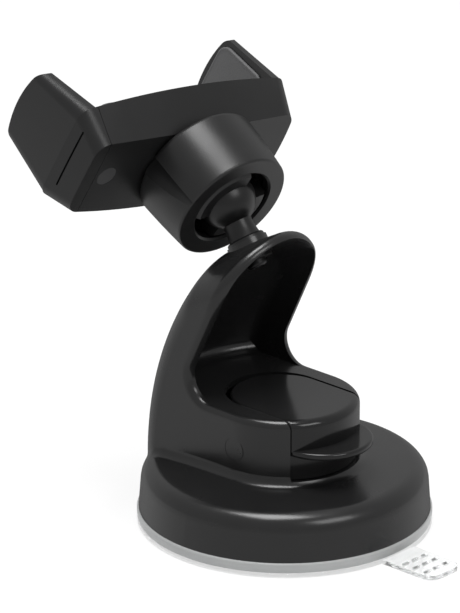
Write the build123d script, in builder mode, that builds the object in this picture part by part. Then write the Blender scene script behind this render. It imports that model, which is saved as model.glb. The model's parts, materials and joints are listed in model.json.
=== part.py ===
"""Car phone mount: a suction base with a hooded neck, a ball head and a sprung phone cradle.

Millimetres, +Z up. The origin is the middle of the suction pad's underside. The lock lever and the
open side of the hood face +Y, the phone faces -Y, and X runs across the width.
"""

from build123d import *
import math
import os

os.makedirs("parts", exist_ok=True)

# ---- Driving dimensions -------------------------------------------------------------------------

# Suction foot
pad_radius = 42.5
pad_thickness = 1.3
foot_top = 4.3  # where the housing's bottom edge meets the soft cup

# Housing: skirt, body and deck
skirt_radius = 42.0
shoulder_radius = 41.0
shoulder_z = 17.6
shoulder_round = 5.5
skirt_crown_z = 19.0
skirt_inner_radius = 39.4
ceiling_gap = 2.4
body_half = 21.4
body_wall = 2.4
deck_z = 38.3
deck_thickness = 1.8
well_radius = 19.0
well_floor_z = 15.6
well_floor_underside = 13.2
rear_floor_z = skirt_crown_z + 0.2
tab_x = -1.5
tab_half = 6.8
tab_end = 61.0
tab_corner = 4.0
tab_slot_rows = (48.8, 52.7, 56.8)
tab_slot_pitch = 4.0

# Pressure ring and its screws
boss_angles = (45, 135, 225, 315)
boss_circle = 35.6
boss_radius = 3.2
boss_foot = 7.7
ring_screw_radius = 1.2
ring_screw_length = 7.5
ring_bore = 32.4
screw_head_radius = 2.3
screw_head_height = 1.5

# Hood: turned about an axis across the mount, in front of it
hood_axis_y = 57.8
hood_axis_z = 15.9
hood_radius = 98.9
hood_crown_radius = 40.3
hood_wall = 2.6
hood_half = body_half
arch_slope = 28.0
arch_base = (-6.4, 68.8)  # y and z, on the rim
arch_rise = 14.2
arch_corner = 11.0
rim_low = (-17.6, 46.9)
rim_tip = (0.0, 84.3)
flare_radius = 7.0

# Lock lever and its pivot
pin_z = 27.7
pin_radius = 1.5
pin_clearance = 0.05
cap_radius = 3.4
cap_depth = 1.3
stem_guide_radius = 3.0
lever_half = 14.3
opening_half = 14.65
opening_centre_y = -3.4
lever_rear_centre_y = -1.8
lever_bottom = 20.6
opening_bottom = 20.3
cam_radius = 4.6
cam_offset = 1.8
lever_plate = 2.0
lever_wall = 2.2
cheek_radius = pin_z - lever_bottom
fin_bottom = 27.8
fin_thickness = 2.0
fin_radius = 14.4
fin_centre_y = 14.6
fin_recess = 0.9

# Lift stem: its foot in the cup, its hook over the lever's barrel (measured from the pivot)
foot_disc_radius = 9.0
foot_disc_bottom = 5.2
foot_disc_top = 6.8
stem_collar_radius = 6.0
stem_collar_top = 8.4
hook_half = 2.9
hook_rear = -8.0
hook_front = 4.9
hook_top = 8.2
hook_foot = -5.0
hook_reach = 8.35
hook_wall = 1.4
hook_gap = cam_radius + 0.4
coil_radius = 4.6
coil_wire = 0.35

# Ball head
ball_radius = 8.5
ball_centre = Vector(0, -23.1, 91.8)
stud_lean = 53.5  # above the horizontal
stem_radius = 4.3
stud_length = 14.3  # from the hood's surface to the ball's centre
stud_seat = 0.9  # the boss outside the hood
stud_collar_radius = 5.6
stud_shank_radius = 2.8

stud_shank_end = 4.2
stud_tapping = 1.5
stud_screw_head = 2.9
inner_boss_face = 4.4
washer_radius = 5.2
washer_thickness = 0.8

# Cradle as it stands: tilted up, turned a little and rolled a little on the ball
cradle_tilt = 27.4
cradle_turn = 8.1
cradle_roll = 7.6

# Socket, measured along the cradle's z from the ball's centre
socket_radius = ball_radius + 0.08
collet_mouth = -3.2
collet_tip_radius = 12.1
collet_shoulder_radius = 13.6
collet_radius = 11.72
collet_web_top = 10.8
finger_middle = 41.0  # degrees from the cradle's x
finger_spread = 57.0  # to each side of the middle
finger_root = 5.2
tube_radius = 14.2
tube_bore = 11.8
tube_start = 2.4
nut_start = -3.3
nut_end = 16.3
nut_lip = -0.3
nut_mouth_radius = 12.5
nut_small_radius = 18.0
nut_waist = (18.9, 7.5)
nut_large_radius = 19.3
nut_bore = tube_radius + 0.1
scoop_depth = 2.3
scoop_mouth_depth = 0.3
scoop_ridge = 14.0  # degrees from the cradle's x
scoop_fade = -3.0

# Cradle, in its own x, y and z
bar_rear = 16.7
bar_front = 27.2
rear_ends = (-32.6, 41.5)
rear_top = (13.0, 12.05, 12.0)  # at the fixed end, in the middle and at the jaw's end
rear_bottom = (-13.4, -16.4, -13.4)
fixed_end = -34.5
jaw_end = 43.0
front_top = (17.3, 19.8, 16.0)
end_corner = 4.5
end_bows = {-1: 1.3, 1: 0.3}  # of the fixed end and of the jaw's end
arm_ledge = 0.12
seam_x = 37.2
seam_gap = 0.15
fixed_face = -29.2
jaw_face = 38.05
arm_tips = {-1: (51.5, 13.2), 1: (49.3, 12.4)}  # height and half width of the fixed and the jaw's arm
arm_lean = 1.2
arm_tip_thickness = 3.6
arm_tip_bow = 2.2
arm_edge = 3.2
tip_top_corner = 5.5
tip_bottom_corner = 8.0
crease_z = 23.5
crease_length = 20.3
crease_middle = 1.2
cavity_left = -29.0
cavity_half = 10.0
cavity_floor = 18.7
plate_back = 25.7
plate_half = 14.0
plate_left = -28.4
plate_screw_spots = ((-20, 12), (-20, -12), (28, 12), (28, -12))
rod_radius = 1.25
rod_z = 23.5
rod_y = 6.5
rod_left = -31.0
rib_left = 33.0
rib_right = 36.0
rib_foot = 21.6
tongue_left = -1.0
tongue_half = 9.0
tongue_rear = 19.0
tongue_front = 21.3
carriage_length = 6.0
carriage_front = 25.4
back_pad_thickness = 1.6
back_pad_half = 16.3
arm_pad_depth = 0.8
arm_pad_height = 0.8
plug_x = 32.7
plug_y = -1.0
plug_radius = 3.2

# ---- Planes -------------------------------------------------------------------------------------


def cradle_frame():
    """Plane at the ball's centre: z towards the phone, y up the phone, x towards the jaw."""
    tilt, turn, roll = (math.radians(a) for a in (cradle_tilt, cradle_turn, cradle_roll))
    forward = Vector(
        -math.sin(turn) * math.cos(tilt), -math.cos(turn) * math.cos(tilt), math.sin(tilt)
    )
    level = Vector(math.cos(turn), -math.sin(turn), 0)
    side = level * math.cos(roll) + forward.cross(level) * math.sin(roll)
    return Plane(origin=ball_centre, x_dir=side, z_dir=forward)


stud_direction = Vector(0, -math.cos(math.radians(stud_lean)), math.sin(math.radians(stud_lean)))
stud_root = ball_centre - stud_direction * stud_length
stud_plane = Plane(origin=stud_root, x_dir=(1, 0, 0), z_dir=stud_direction)
cradle = cradle_frame()
hood_axis = Axis((0, hood_axis_y, hood_axis_z), (1, 0, 0))
hood_section = Plane(origin=(0, hood_axis_y, hood_axis_z), x_dir=(1, 0, 0), z_dir=(0, 0, -1))

# ---- Housing ------------------------------------------------------------------------------------


def hood_crown(inset):
    """The crowned section of the hood, turned all round its axis."""
    radius = hood_crown_radius - inset
    half = 30.0
    edge = hood_radius - hood_crown_radius + math.sqrt(radius**2 - half**2)
    with BuildPart() as crown:
        with BuildSketch(hood_section):
            with BuildLine():
                Polyline((-half, edge), (-half, 30), (half, 30), (half, edge))
                ThreePointArc((half, edge), (0, hood_radius - inset), (-half, edge))
            make_face()
        revolve(axis=hood_axis)
    return crown.part


def arch_block(inset):
    """A block under the hood's arch, which falls towards the back."""
    slope = math.radians(arch_slope)
    backward = Vector(0, -math.cos(slope), -math.sin(slope))
    plane = Plane(origin=Vector(0, *arch_base) - backward * 55, x_dir=(1, 0, 0), z_dir=backward)
    half = hood_half - inset
    rise = arch_rise - inset
    corner = arch_corner - inset
    flank = half - corner
    top = (flank**2 + rise**2 - corner**2) / (2 * (rise - corner))
    lean_over = math.degrees(math.atan2(top - rise, flank))
    with BuildPart() as arch:
        with BuildSketch(plane):
            with BuildLine():
                Polyline((half, 0), (half, -110), (-half, -110), (-half, 0))
                CenterArc((flank, 0), corner, 0, lean_over)
                CenterArc((0, rise - top), top, lean_over, 180 - 2 * lean_over)
                CenterArc((-flank, 0), corner, 180 - lean_over, lean_over)
            make_face()
        extrude(amount=130)
    return arch.part


def plan_column(half, bottom, top):
    """The body's plan outline as a column: round in front, straight to the rear."""
    with BuildPart() as column:
        with BuildSketch(Plane.XY.offset(bottom)):
            Circle(half)
            with Locations((0, -40)):
                Rectangle(2 * half, 80)
        extrude(amount=top - bottom)
    return column.part


def pin_plane(x):
    """Plane square to the pivot pin at x: its own x runs along +Y and its y up."""
    return Plane(origin=(x, 0, pin_z), x_dir=(0, 1, 0), z_dir=(1, 0, 0))


outer_crown = hood_crown(0)
outer_arch = arch_block(0)
outer_plan = plan_column(body_half, 0, 120)
inner_crown = hood_crown(hood_wall)
inner_arch = arch_block(hood_wall)

with BuildPart() as hood_hollow:
    with BuildSketch(Plane.XY.offset(deck_z)):
        with Locations((0, -20)):
            Rectangle(2 * (hood_half - hood_wall), 120)
    extrude(amount=70)
    add(inner_crown, mode=Mode.INTERSECT)
    add(inner_arch, mode=Mode.INTERSECT)
    fillet(hood_hollow.faces().filter_by(GeomType.TORUS).edges(), 3.0)

with BuildPart() as body_hollow:
    with BuildSketch(Plane.XY.offset(rear_floor_z)):
        Circle(body_half - body_wall)
        with Locations((0, -40)):
            Rectangle(2 * (body_half - body_wall), 80)
    extrude(amount=deck_z - deck_thickness - rear_floor_z)
    add(inner_crown, mode=Mode.INTERSECT)

with BuildPart() as skirt_hollow:
    with BuildSketch(Plane.XZ):
        with BuildLine():
            Polyline(
                (0, foot_top),
                (skirt_inner_radius, foot_top),
                (skirt_inner_radius - 0.8, shoulder_z - ceiling_gap - 0.4),
                (well_radius + body_wall, skirt_crown_z - ceiling_gap),
                (well_radius + body_wall, well_floor_underside),
                (0, well_floor_underside),
                (0, foot_top),
            )
        make_face()
    revolve(axis=Axis.Z)

rim_direction = (Vector(*rim_tip) - Vector(*rim_low)).normalized()
slope = (rim_tip[0] - rim_low[0]) / (rim_tip[1] - rim_low[1])
rim_foot = (rim_low[0] - (rim_low[1] - deck_z) * slope, deck_z)


def on_front_edge(edge):
    """True on the outer edge of the deck, the flare and the hood's rim."""
    middle = edge @ 0.5
    across_rim = (middle - Vector(0, *rim_low)).cross(Vector(0, rim_direction.X, rim_direction.Y))
    on_rim = abs(across_rim.X) < 0.05 and middle.Z > rim_low[1]
    on_deck = abs(middle.Z - deck_z) < 0.01
    on_flare = edge.geom_type == GeomType.CIRCLE and edge.length < 20 and middle.Z > deck_z
    level_line = edge.geom_type == GeomType.LINE and abs((edge % 0.5).X) > 0.99
    return (on_rim or on_deck or on_flare) and not level_line


ring_boss_spots = [Vector(boss_circle, 0, 0).rotate(Axis.Z, angle) for angle in boss_angles]

with BuildPart() as neck_body:
    # Body and hood as one block, cut to its side profile, crown, arch and plan
    rim_top = Vector(*rim_low) + rim_direction * 55
    with BuildSketch(Plane.YZ):
        with BuildLine():
            Polyline(
                (rim_top.X, rim_top.Y),
                rim_foot,
                (30, deck_z),
                (30, 14),
                (-60, 14),
                (-60, rim_top.Y),
                (rim_top.X, rim_top.Y),
            )
        make_face()
        fillet(vertices().sort_by_distance((*rim_foot, 0))[0], flare_radius)
    extrude(amount=body_half, both=True)
    add(outer_crown, mode=Mode.INTERSECT)
    add(outer_arch, mode=Mode.INTERSECT)
    add(outer_plan, mode=Mode.INTERSECT)
    # The rim of the hood, its flare and the edge of the deck are one rounded edge
    fillet(neck_body.edges().filter_by(on_front_edge), 2.4)
    back_face = neck_body.faces().filter_by(GeomType.TORUS).sort_by(SortBy.AREA)[-1]
    fillet(back_face.edges().filter_by(lambda e: e.center().Z > 20), 6.0)
    # The skirt, and the hollow blend where the body stands on it
    with BuildSketch(Plane.XZ):
        with BuildLine():
            Polyline(
                (0, foot_top),
                (skirt_radius, foot_top),
                (shoulder_radius, shoulder_z),
                (body_half, skirt_crown_z),
                (0, skirt_crown_z),
                (0, foot_top),
            )
        make_face()
        fillet(vertices().sort_by_distance((shoulder_radius, shoulder_z, 0))[0], shoulder_round)
    revolve(axis=Axis.Z)
    foot_edges = neck_body.edges().filter_by(
        lambda e: skirt_crown_z - 2.5 < e.center().Z < skirt_crown_z + 0.01
        and math.hypot((e @ 0.5).X, (e @ 0.5).Y) < shoulder_radius - 3
    )
    fillet(foot_edges, 3.0)
    add(hood_hollow.part, mode=Mode.SUBTRACT)
    add(body_hollow.part, mode=Mode.SUBTRACT)
    add(skirt_hollow.part, mode=Mode.SUBTRACT)
    # The well under the lever, and the bore that guides the lift stem
    with Locations((0, 0, (well_floor_z + rear_floor_z) / 2)):
        Cylinder(well_radius, rear_floor_z - well_floor_z + 0.02, mode=Mode.SUBTRACT)
    with Locations((0, 0, well_floor_z)):
        Cylinder(stem_guide_radius + 0.05, 8, mode=Mode.SUBTRACT)
    # The pivot's bosses
    for side in (-1, 1):
        with BuildSketch(pin_plane(side * (opening_half + 0.3))):
            Circle(4.4)
        extrude(amount=side * (body_half - body_wall / 2 - opening_half - 0.3))
    # The opening that the lever fills
    with BuildSketch(Plane.XY.offset(opening_bottom)):
        with Locations((0, opening_centre_y)):
            Circle(opening_half)
        with Locations((0, opening_centre_y + 15)):
            Rectangle(2 * opening_half, 30)
    extrude(amount=30, mode=Mode.SUBTRACT)
    # The pivot's bore and the pockets of its caps
    with BuildSketch(pin_plane(-body_half)):
        Circle(pin_radius + 0.02)
    extrude(amount=2 * body_half, mode=Mode.SUBTRACT)
    for side in (-1, 1):
        with BuildSketch(pin_plane(side * (body_half - cap_depth))):
            Circle(cap_radius + 0.03)
        extrude(amount=side * (cap_depth + 1), mode=Mode.SUBTRACT)
    # Bosses for the pressure ring's screws
    with BuildSketch(Plane.XY.offset(boss_foot)):
        with Locations(*[(v.X, v.Y) for v in ring_boss_spots]):
            Circle(boss_radius)
    extrude(amount=shoulder_z - ceiling_gap - boss_foot)
    with BuildSketch(Plane.XY.offset(boss_foot)):
        with Locations(*[(v.X, v.Y) for v in ring_boss_spots]):
            Circle(ring_screw_radius + 0.02)
    extrude(amount=6.5, mode=Mode.SUBTRACT)
    # The seat of the ball stud: a low boss outside, a flat one inside, and a bore through both
    with BuildSketch(stud_plane.offset(-1.6)):
        Circle(stud_collar_radius + 0.5)
    extrude(amount=1.6 + stud_seat)
    with BuildSketch(stud_plane.offset(stud_seat)):
        Circle(stud_collar_radius + 0.5)
    extrude(amount=4, mode=Mode.SUBTRACT)
    with BuildSketch(stud_plane.offset(-hood_wall - 1.8)):
        Circle(5.6)
    extrude(amount=1.8 + 0.6)
    with BuildSketch(stud_plane.offset(-8)):
        Circle(stud_shank_radius + 0.03)
    extrude(amount=14, mode=Mode.SUBTRACT)

neck_body.part.label = "neck_body"
export_step(neck_body.part, "parts/neck_body.step")

# ---- Suction foot -------------------------------------------------------------------------------

with BuildPart() as gel_pad:
    with BuildSketch():
        Circle(pad_radius)
        with BuildSketch(mode=Mode.PRIVATE) as tab:
            with Locations((tab_x, (pad_radius - 8 + tab_end) / 2)):
                RectangleRounded(2 * tab_half, tab_end - pad_radius + 8, tab_corner)
        add(tab.sketch)
        # Three rows of grip slots in the pull tab
        with Locations(*[(tab_x, row) for row in tab_slot_rows]):
            with GridLocations(tab_slot_pitch, 1, 3, 1):
                SlotOverall(2.6, 0.9, mode=Mode.SUBTRACT)
    extrude(amount=pad_thickness)
    fillet(gel_pad.edges().group_by(Axis.Z)[-1].filter_by(lambda e: e.length > 12), 0.4)

gel_pad.part.label = "gel_pad"
export_step(gel_pad.part, "parts/gel_pad.step")

with BuildPart() as suction_cup:
    with BuildSketch(Plane.XZ):
        with BuildLine():
            Polyline(
                (0, pad_thickness),
                (pad_radius - 0.3, pad_thickness),
                (pad_radius, foot_top - 0.6),
                (pad_radius - 0.5, foot_top),
                (33.0, foot_top),
                (30.0, 3.5),
                (13.5, 3.5),
                (11.6, 8.0),
                (stem_collar_radius + 0.15, 8.0),
                (stem_collar_radius + 0.15, foot_disc_top + 0.1),
                (foot_disc_radius + 0.1, foot_disc_top + 0.1),
                (foot_disc_radius + 0.1, foot_disc_bottom - 0.1),
                (0, foot_disc_bottom - 0.1),
                (0, pad_thickness),
            )
        make_face()
    revolve(axis=Axis.Z)

suction_cup.part.label = "suction_cup"
export_step(suction_cup.part, "parts/suction_cup.step")

with BuildPart() as pressure_ring:
    with BuildSketch(Plane.XY.offset(foot_top + 0.05)):
        Circle(skirt_inner_radius - 0.9)
        Circle(ring_bore, mode=Mode.SUBTRACT)
    extrude(amount=boss_foot - 0.1 - foot_top - 0.05)
    with Locations(*[(v.X, v.Y, foot_top + 0.05) for v in ring_boss_spots]):
        Cylinder(screw_head_radius + 0.1, 2 * (screw_head_height + 0.1), mode=Mode.SUBTRACT)
        Cylinder(ring_screw_radius + 0.1, 12, mode=Mode.SUBTRACT)

pressure_ring.part.label = "pressure_ring"
export_step(pressure_ring.part, "parts/pressure_ring.step")


def pan_screw(plane, head_radius, head_height, shank_radius, shank_length):
    """A pan-head screw with a cross recess: its head stands on the plane and its shank runs below."""
    with BuildPart() as screw:
        with BuildSketch(plane):
            Circle(head_radius)
        extrude(amount=head_height)
        fillet(screw.faces().sort_by(SortBy.AREA).filter_by(
            lambda f: abs((f.center() - plane.origin).dot(plane.z_dir) - head_height) < 0.01
        ).edges(), head_height * 0.45)
        with BuildSketch(plane):
            Circle(shank_radius)
        extrude(amount=-shank_length)
        with BuildSketch(plane.offset(head_height)):
            Rectangle(head_radius * 1.1, head_radius * 0.26)
            Rectangle(head_radius * 0.26, head_radius * 1.1)
        extrude(amount=-head_height * 0.5, mode=Mode.SUBTRACT)
    return screw.part


with BuildPart() as ring_screws:
    for spot in ring_boss_spots:
        under_head = Plane(
            origin=(spot.X, spot.Y, foot_top + 0.1 + screw_head_height), z_dir=(0, 0, -1)
        )
        add(pan_screw(under_head, screw_head_radius, screw_head_height, ring_screw_radius, ring_screw_length))

ring_screws.part.label = "ring_screws"
export_step(ring_screws.part, "parts/ring_screws.step")

# ---- Lock lever and its lift stem ---------------------------------------------------------------

with BuildPart() as lock_lever:
    with BuildSketch(Plane.XY.offset(lever_bottom)):
        Circle(body_half)
        with Locations((0, lever_rear_centre_y + 20)):
            Rectangle(2 * lever_half, 40, mode=Mode.INTERSECT)
        with Locations((0, lever_rear_centre_y)):
            Circle(lever_half)
    extrude(amount=deck_z - lever_bottom)
    # Side outline: flat top, rounded about the pivot behind, and a thin plate to the rear
    with BuildSketch(Plane.YZ):
        with BuildLine():
            Polyline((0, lever_bottom), (30, lever_bottom), (30, deck_z), (-30, deck_z))
            Polyline(
                (-30, deck_z),
                (-30, deck_z - lever_plate),
                (-9.6, deck_z - lever_plate),
                (-cheek_radius, pin_z),
            )
            ThreePointArc(
                (-cheek_radius, pin_z),
                (-cheek_radius * math.sqrt(0.5), pin_z - cheek_radius * math.sqrt(0.5)),
                (0, lever_bottom),
            )
        make_face()
    extrude(amount=lever_half + 1, both=True, mode=Mode.INTERSECT)
    top_rim = lock_lever.edges().filter_by(
        lambda e: abs(e.center().Z - deck_z) < 0.01 and e.geom_type == GeomType.CIRCLE
    )
    fillet(top_rim.sort_by(Axis.Y)[-1], 2.4)
    fillet(
        lock_lever.edges().filter_by(
            lambda e: abs(e.center().Z - deck_z) < 0.01
            and e.geom_type == GeomType.CIRCLE
            and e.center().Y < 0
        ),
        0.7,
    )
    # Hollow from below
    with BuildSketch(Plane.XY.offset(lever_bottom - 5)):
        Circle(body_half - lever_wall)
        with Locations((0, -20)):
            Rectangle(80, 40)
        Rectangle(2 * (lever_half - lever_wall), 90, mode=Mode.INTERSECT)
    extrude(amount=deck_z - lever_plate - lever_bottom + 5, mode=Mode.SUBTRACT)
    # The wall is set back below the fin
    with BuildSketch(Plane.XY.offset(lever_bottom - 1)):
        Circle(body_half + 2)
        Circle(body_half - fin_recess, mode=Mode.SUBTRACT)
    extrude(amount=fin_bottom - lever_bottom + 1, mode=Mode.SUBTRACT)
    # Finger fin
    with BuildSketch(Plane.XY.offset(fin_bottom)):
        with Locations((0, fin_centre_y)):
            Circle(fin_radius)
        with Locations((0, fin_centre_y + 10)):
            Rectangle(2 * lever_half, 20, mode=Mode.INTERSECT)
        Circle(body_half - lever_wall, mode=Mode.SUBTRACT)
    extrude(amount=fin_thickness)
    fin_rim = lock_lever.edges().filter_by(
        lambda e: e.geom_type == GeomType.CIRCLE
        and (e @ 0.5).Y > 27
        and fin_bottom - 0.01 < e.center().Z < fin_bottom + fin_thickness + 0.01
    )
    fillet(fin_rim, 0.8)
    # Eccentric barrel across the lever: the cam that lifts the stem
    with BuildSketch(pin_plane(-lever_half + 1)):
        with Locations((0, cam_offset)):
            Circle(cam_radius)
    extrude(amount=2 * lever_half - 2)
    with BuildSketch(pin_plane(-lever_half - 1)):
        Circle(pin_radius + pin_clearance)
    extrude(amount=2 * lever_half + 2, mode=Mode.SUBTRACT)

lock_lever.part.label = "lock_lever"
export_step(lock_lever.part, "parts/lock_lever.step")

pin_half_length = body_half - cap_depth - 0.1

with BuildPart() as pivot_pin:
    with BuildSketch(pin_plane(-pin_half_length)):
        Circle(pin_radius)
    extrude(amount=2 * pin_half_length)
    chamfer(pivot_pin.edges().filter_by(GeomType.CIRCLE), 0.3)

pivot_pin.part.label = "pivot_pin"
export_step(pivot_pin.part, "parts/pivot_pin.step")

with BuildPart() as pin_caps:
    for side in (-1, 1):
        with BuildSketch(pin_plane(side * (body_half - cap_depth + 0.02))):
            Circle(cap_radius)
        extrude(amount=side * (cap_depth - 0.1))

pin_caps.part.label = "pin_caps"
export_step(pin_caps.part, "parts/pin_caps.step")

with BuildPart() as lift_stem:
    with BuildSketch(Plane.XZ):
        with BuildLine():
            Polyline(
                (0, foot_disc_bottom),
                (foot_disc_radius, foot_disc_bottom),
                (foot_disc_radius, foot_disc_top),
                (stem_collar_radius, foot_disc_top),
                (stem_collar_radius, stem_collar_top),
                (stem_guide_radius, stem_collar_top),
                (stem_guide_radius, pin_z + hook_foot + 0.5),
                (0, pin_z + hook_foot + 0.5),
                (0, foot_disc_bottom),
            )
        make_face()
    revolve(axis=Axis.Z)
    # The hook: open in front, so it slips over the lever's barrel
    with BuildSketch(pin_plane(-hook_half)):
        with Locations(((hook_rear + hook_front) / 2, (hook_foot + hook_top) / 2)):
            Rectangle(hook_front - hook_rear, hook_top - hook_foot)
        fillet(vertices().sort_by_distance((hook_rear, hook_foot, 0))[0], 3.4)
        Circle(hook_reach, mode=Mode.INTERSECT)
        with Locations((hook_rear + hook_wall + hook_gap + 10, cam_offset)):
            SlotCenterToCenter(20, 2 * hook_gap, mode=Mode.SUBTRACT)
    extrude(amount=2 * hook_half)

lift_stem.part.label = "lift_stem"
export_step(lift_stem.part, "parts/lift_stem.step")


def coil(plane, mean_radius, wire_radius, height, turns):
    """A plain compression coil that rises along the plane's z."""
    pitch = (height - 2 * wire_radius) / turns
    path = Helix(pitch, height - 2 * wire_radius, mean_radius)
    path = plane.offset(wire_radius).location * path
    with BuildPart() as spring:
        with BuildSketch(Plane(origin=path @ 0, z_dir=path % 0)):
            Circle(wire_radius)
        sweep(path=path, is_frenet=True)
    return spring.part


release_coil = coil(
    Plane.XY.offset(stem_collar_top + 0.05),
    coil_radius,
    coil_wire,
    well_floor_underside - stem_collar_top - 0.1,
    3,
)
release_coil.label = "release_spring"
export_step(release_coil, "parts/release_spring.step")

# ---- Ball stud ----------------------------------------------------------------------------------

stud_section = Plane(
    origin=stud_root, x_dir=(1, 0, 0), z_dir=Vector(1, 0, 0).cross(stud_direction)
)
stud_line = Axis(stud_root, stud_direction)
stem_join = stud_length - math.sqrt(ball_radius**2 - stem_radius**2)

with BuildPart() as ball_stud:
    with BuildSketch(stud_section):
        with BuildLine():
            Polyline(
                (0, stud_length + ball_radius),
                (0, -stud_shank_end),
                (stud_shank_radius, -stud_shank_end),
                (stud_shank_radius, stud_seat),
                (stud_collar_radius, stud_seat),
                (stud_collar_radius, stud_seat + 0.7),
                (stud_collar_radius - 0.4, stud_seat + 1.1),
                (stem_radius + 0.4, stud_seat + 1.1),
            )
            ThreePointArc(
                (stem_radius + 0.4, stud_seat + 1.1),
                (stem_radius + 0.08, stud_seat + 2.9),
                (stem_radius, stem_join - 0.2),
            )
            Line((stem_radius, stem_join - 0.2), (stem_radius, stem_join))
            ThreePointArc(
                (stem_radius, stem_join),
                (ball_radius, stud_length),
                (0, stud_length + ball_radius),
            )
        make_face()
    revolve(axis=stud_line)
    with BuildSketch(stud_plane.offset(-stud_shank_end - 1)):
        Circle(stud_tapping)
    extrude(amount=10, mode=Mode.SUBTRACT)

ball_stud.part.label = "ball_stud"
export_step(ball_stud.part, "parts/ball_stud.step")

with BuildPart() as stud_washer:
    with BuildSketch(stud_plane.offset(-inner_boss_face - 0.01)):
        Circle(washer_radius)
        Circle(stud_tapping + 0.2, mode=Mode.SUBTRACT)
    extrude(amount=-washer_thickness)

stud_washer.part.label = "stud_washer"
export_step(stud_washer.part, "parts/stud_washer.step")

screw_seat = stud_plane.offset(-inner_boss_face - washer_thickness - 0.02)
stud_screw = pan_screw(
    Plane(origin=screw_seat.origin, x_dir=(1, 0, 0), z_dir=-stud_direction),
    stud_screw_head,
    1.9,
    stud_tapping - 0.02,
    8.5,
)
stud_screw.label = "stud_screw"
export_step(stud_screw, "parts/stud_screw.step")

# ---- Socket and lock nut ------------------------------------------------------------------------

cradle_section = Plane(origin=ball_centre, x_dir=cradle.x_dir, z_dir=-cradle.y_dir)
cradle_line = Axis(ball_centre, cradle.z_dir)


def local(shape):
    """The middle of a shape in the cradle's own coordinates."""
    return cradle.to_local_coords(shape.center())


def square_to_x(x):
    """Plane square to the cradle's x: its own x is the cradle's y, its y the cradle's z."""
    return Plane(
        origin=cradle.from_local_coords(Vector(x, 0, 0)), x_dir=cradle.y_dir, z_dir=cradle.x_dir
    )


mouth_inner = math.sqrt(socket_radius**2 - collet_mouth**2)

with BuildPart() as collet:
    with BuildSketch(cradle_section):
        with BuildLine():
            Polyline(
                (mouth_inner, collet_mouth),
                (collet_tip_radius - 1.0, collet_mouth),
                (collet_tip_radius, collet_mouth + 1.0),
                (collet_tip_radius, nut_lip + 0.3),
                (collet_shoulder_radius, nut_lip + 1.8),
                (collet_shoulder_radius, tube_start - 0.3),
                (collet_radius, tube_start - 0.3),
                (collet_radius, bar_rear - 0.1),
                (collet_radius - 2.2, bar_rear - 0.1),
                (collet_radius - 2.2, collet_web_top),
                (0, collet_web_top),
                (0, socket_radius),
            )
            ThreePointArc(
                (0, socket_radius),
                (socket_radius * math.sin(1.0), socket_radius * math.cos(1.0)),
                (mouth_inner, collet_mouth),
            )
        make_face()
    revolve(axis=cradle_line)
    # Two wide gaps part the two fingers that grip the ball
    with BuildSketch(cradle.offset(collet_mouth - 1)):
        for turn in (finger_middle + 90, finger_middle + 270):
            sweep_half = 90 - finger_spread
            with BuildLine():
                Polyline(
                    (0, 0), *[Vector(20, 0).rotate(Axis.Z, turn + a) for a in (-sweep_half, 0, sweep_half)],
                    close=True,
                )
            make_face()
    extrude(amount=finger_root + 1 - collet_mouth, mode=Mode.SUBTRACT)

collet.part.label = "collet"
export_step(collet.part, "parts/collet.step")

with BuildPart() as lock_nut:
    with BuildSketch(cradle_section):
        with BuildLine():
            Polyline(
                (nut_large_radius, nut_end),
                (nut_bore, nut_end),
                (nut_bore, nut_lip + 2.0),
                (nut_mouth_radius, nut_lip),
                (nut_mouth_radius, nut_start),
                (nut_small_radius, nut_start),
            )
            ThreePointArc((nut_small_radius, nut_start), nut_waist, (nut_large_radius, nut_end))
        make_face()
        fillet(vertices().sort_by_distance((nut_small_radius, nut_start, 0))[0], 0.8)
        fillet(vertices().sort_by_distance((nut_large_radius, nut_end, 0))[0], 1.6)
        chamfer(vertices().sort_by_distance((nut_mouth_radius, nut_start, 0))[0], 0.6)
    revolve(axis=cradle_line)
    # Two thumb scoops: a leaning flat, deep beside its straight ridge, that fades round the nut
    for turn in (0, 180):
        deep, shallow, faded = (
            cradle.from_local_coords(Vector(radius, 0, height).rotate(Axis.Z, angle + turn))
            for radius, height, angle in (
                (nut_large_radius - scoop_depth, nut_end, scoop_ridge),
                (nut_small_radius - scoop_mouth_depth, nut_start, scoop_ridge),
                (nut_large_radius, nut_end, scoop_fade),
            )
        )
        outward = (faded - deep).cross(shallow - deep)
        with BuildSketch(Plane(origin=deep, x_dir=shallow - deep, z_dir=outward)):
            with Locations((11, -9)):
                Rectangle(30, 18)
        extrude(amount=6, mode=Mode.SUBTRACT)

lock_nut.part.label = "lock_nut"
export_step(lock_nut.part, "parts/lock_nut.step")

# ---- Cradle -------------------------------------------------------------------------------------


def bar_outline(height, ends, top, bottom):
    """Outline of the bar at a height: its long edges bow, its corners are round."""
    left, right = ends
    middle = (left + right) / 2
    with BuildSketch(cradle.offset(height)) as outline:
        with BuildLine():
            ThreePointArc((left, bottom[0]), (left - end_bows[-1], 0), (left, top[0]))
            ThreePointArc((left, top[0]), (middle, top[1]), (right, top[2]))
            ThreePointArc((right, top[2]), (right + end_bows[1], 0), (right, bottom[2]))
            ThreePointArc((right, bottom[2]), (middle, bottom[1]), (left, bottom[0]))
        make_face()
        fillet(vertices(), end_corner)
    return outline.sketch


def front_half(x):
    """Half the bar's height in front at x, on the bow through its ends and its middle."""
    along = (2 * x - fixed_end - jaw_end) / (jaw_end - fixed_end)
    fixed, crown, jaw = front_top
    return crown + (jaw - fixed) / 2 * along + ((jaw + fixed) / 2 - crown) * along**2


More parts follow.
